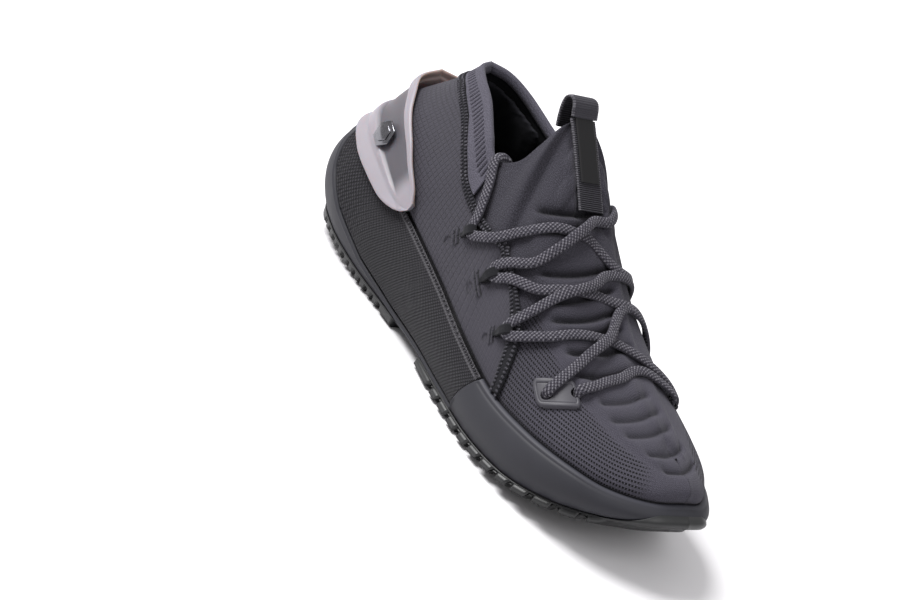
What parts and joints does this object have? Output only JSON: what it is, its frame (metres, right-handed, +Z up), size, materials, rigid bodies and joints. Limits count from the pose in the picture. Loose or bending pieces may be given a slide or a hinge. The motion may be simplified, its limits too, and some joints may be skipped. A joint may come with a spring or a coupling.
{
  "type": "running shoe",
  "caption": "Low knitted running shoe for the right foot, with a moulded heel counter, cord laces through side loops, wrapped foam midsole and lugged rubber outsole.",
  "frame": {"origin": "on the ground under the middle of the shoe, halfway along its length and across its width, measured over its whole box", "axes": "+X from heel to toe, +Y towards the inner side of the right foot, +Z up"},
  "size_m": [0.3086, 0.104, 0.1474],
  "materials": {
    "carrier_foam": "matt moulded foam",
    "core_foam": "cut foam",
    "web_mesh": "woven compression mesh",
    "outsole_rubber": "moulded rubber",
    "lasting_board": "non-woven board",
    "lining": "brushed lining over foam",
    "knit": "flat knit",
    "ripstop": "fine grid weave",
    "braid": "braided cord",
    "smoked_tpu": "smoked translucent",
    "dark_chrome": "polished dark",
    "lace_yarn": "flat braided lace",
    "tip_plastic": "smooth",
    "film": "bonded film",
    "webbing": "ribbed webbing"
  },
  "bodies": {
    "shoe": {"midsole_carrier": "carrier_foam", "energy_web_lateral": "web_mesh", "energy_web_medial": "web_mesh", "cushion_core": "core_foam", "outsole_forefoot": "outsole_rubber", "outsole_heel": "outsole_rubber", "strobel_board": "lasting_board", "heel_pad_lateral": "lining", "heel_pad_medial": "lining", "toe_puff": "lining", "knit_bootie": "knit", "ripstop_quarter": "ripstop", "collar_braid_lateral": "braid", "collar_braid_medial": "braid", "collar_rib": "knit", "heel_counter": "smoked_tpu", "heel_emblem": "dark_chrome", "lace": "lace_yarn", "aglet_lateral": "tip_plastic", "aglet_medial": "tip_plastic", "lace_loop_lateral_1": "braid", "lace_loop_lateral_2": "braid", "lace_loop_lateral_3": "braid", "lace_loop_medial_1": "braid", "lace_loop_medial_2": "braid", "lace_loop_medial_3": "braid", "eyelet_patch_lateral": "film", "eyelet_patch_medial": "film"},
    "tongue": {"tongue": "knit", "pull_strap": "webbing", "tab_label": "film"},
    "pull_loop": {"pull_loop": "webbing"},
    "sockliner": {"sockliner": "lining"}
  },
  "joints": [
    {"name": "tongue_hinge", "type": "hinge", "parent": "shoe", "child": "tongue", "pos_m": [0.00968, 0.00345, 0.1015], "axis": [0, 1, 0], "range_deg": [0, 8], "stiffness_Nm_per_rad": 0.05},
    {"name": "pull_loop_hinge", "type": "hinge", "parent": "tongue", "child": "pull_loop", "pos_m": [-0.02652, 0.00345, 0.1402], "axis": [0, 1, 0], "range_deg": [0, 25], "stiffness_Nm_per_rad": 0.002},
    {"name": "sockliner_lift", "type": "hinge", "parent": "shoe", "child": "sockliner", "pos_m": [0.13468, 0.00345, 0.033], "axis": [0, 1, 0], "range_deg": [0, 3]}
  ]
}
